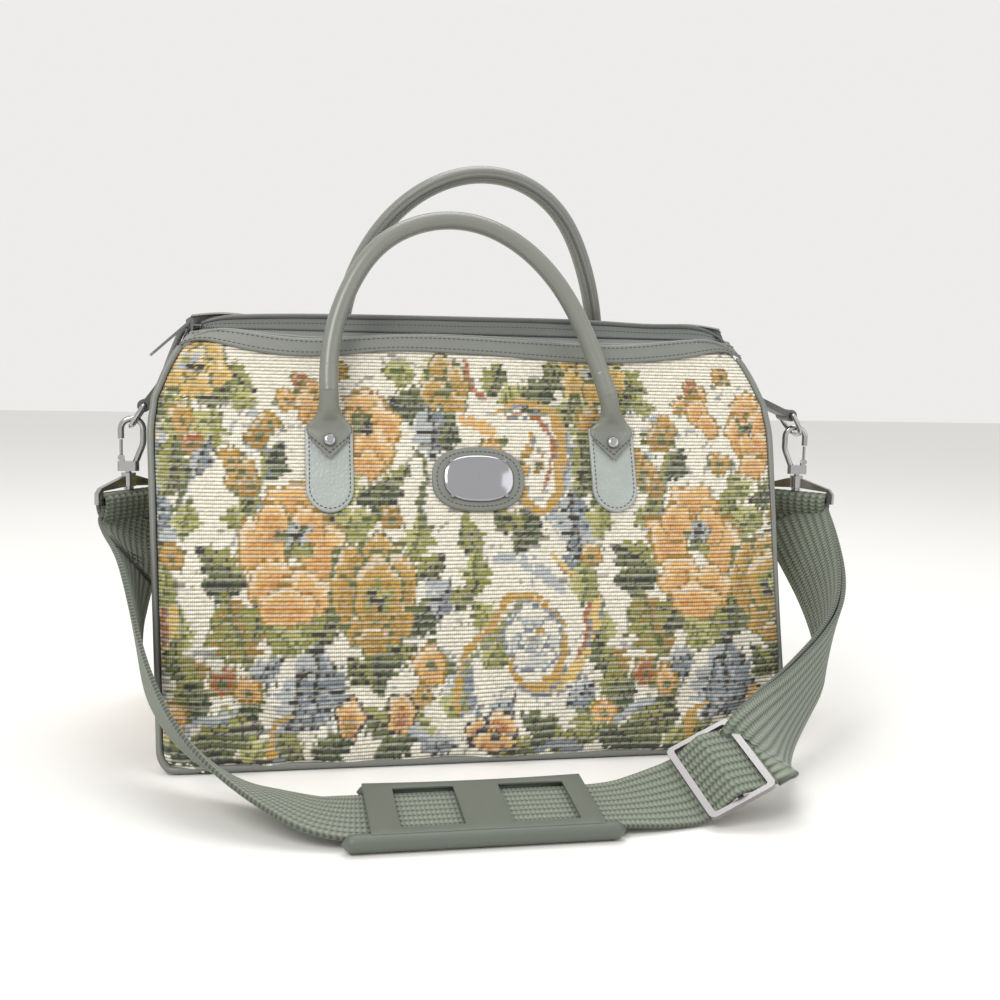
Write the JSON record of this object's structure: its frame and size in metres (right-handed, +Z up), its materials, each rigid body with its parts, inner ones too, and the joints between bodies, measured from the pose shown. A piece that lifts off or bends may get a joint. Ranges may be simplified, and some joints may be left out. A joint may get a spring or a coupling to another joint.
{
  "type": "carpet bag",
  "caption": "Soft tapestry weekend bag that narrows to a zipped top, with rolled carry handles, side rings and a clip-on webbing shoulder strap with a pad.",
  "frame": {"origin": "middle of the underside, on the surface the bag stands on", "axes": "+Z up, -Y the front with the badge, +X the bag's right end as the front is seen"},
  "size_m": [0.5193, 0.3566, 0.3897],
  "materials": {
    "tapestry": "woven",
    "zip_tape": "matte",
    "webbing": "twill",
    "leather": "satin",
    "pad": "satin",
    "board": "matte",
    "badge": "polished",
    "steel": "polished"
  },
  "bodies": {
    "bag": {"badge_patch": "leather", "badge_pins": "badge", "badge_plate": "badge", "base_board": "board", "front_handle_ends": "leather", "front_handle_rivets": "steel", "front_left_handle_tab": "leather", "front_panel": "tapestry", "front_piping": "leather", "front_right_handle_tab": "leather", "front_zip_band": "leather", "front_zip_tape": "zip_tape", "gusset": "tapestry", "left_end_panel": "leather", "left_ring_tab": "leather", "left_strap_loop": "steel", "rear_handle_ends": "leather", "rear_handle_rivets": "steel", "rear_left_handle_tab": "leather", "rear_panel": "tapestry", "rear_piping": "leather", "rear_right_handle_tab": "leather", "rear_zip_band": "leather", "rear_zip_tape": "zip_tape", "right_end_panel": "leather", "right_ring_tab": "leather", "right_strap_loop": "steel", "shoulder_pad": "pad", "shoulder_strap": "webbing", "strap_slide": "steel", "zip_slider": "steel"},
    "front_grip": {"front_handle": "leather"},
    "left_ring": {"left_d_ring": "steel"},
    "left_gate": {"left_hook_gate": "steel"},
    "left_hook": {"left_snap_hook": "steel"},
    "rear_grip": {"rear_handle": "leather"},
    "right_ring": {"right_d_ring": "steel"},
    "right_gate": {"right_hook_gate": "steel"},
    "right_hook": {"right_snap_hook": "steel"},
    "pull": {"zip_pull": "steel"}
  },
  "joints": [
    {"name": "front_handle_swing", "type": "hinge", "parent": "bag", "child": "front_grip", "pos_m": [0, -0.052, 0.219], "axis": [1, 0, 0], "range_deg": [-3, 95]},
    {"name": "rear_handle_swing", "type": "hinge", "parent": "bag", "child": "rear_grip", "pos_m": [0, 0.047, 0.236], "axis": [1, 0, 0], "range_deg": [-95, 3]},
    {"name": "zip_pull_swing", "type": "hinge", "parent": "bag", "child": "pull", "pos_m": [-0.1892, 0.0015, 0.2756], "axis": [0, 1, 0], "range_deg": [-6, 190]},
    {"name": "left_ring_swing", "type": "hinge", "parent": "bag", "child": "left_ring", "pos_m": [-0.2185, 0, 0.2195], "axis": [0, 1, 0], "range_deg": [-8, 2]},
    {"name": "left_hook_swivel", "type": "hinge", "parent": "bag", "child": "left_hook", "pos_m": [-0.2295, 0, 0.175], "axis": [0, 0, 1], "range_deg": [-12, 12]},
    {"name": "left_gate_swing", "type": "hinge", "parent": "left_hook", "child": "left_gate", "pos_m": [-0.2341, 0, 0.1845], "axis": [0, -1, 0], "range_deg": [-30, 0], "stiffness_Nm_per_rad": 0.02, "springref_deg": 5.73},
    {"name": "right_ring_swing", "type": "hinge", "parent": "bag", "child": "right_ring", "pos_m": [0.239, 0, 0.219], "axis": [0, 1, 0], "range_deg": [-2, 8]},
    {"name": "right_hook_swivel", "type": "hinge", "parent": "bag", "child": "right_hook", "pos_m": [0.2492, -0.001, 0.175], "axis": [0, 0, 1], "range_deg": [-12, 12]},
    {"name": "right_gate_swing", "type": "hinge", "parent": "right_hook", "child": "right_gate", "pos_m": [0.25364, -0.00219, 0.1845], "axis": [0.2588, 0.9659, 0], "range_deg": [-30, 0], "stiffness_Nm_per_rad": 0.02, "springref_deg": 5.73}
  ]
}
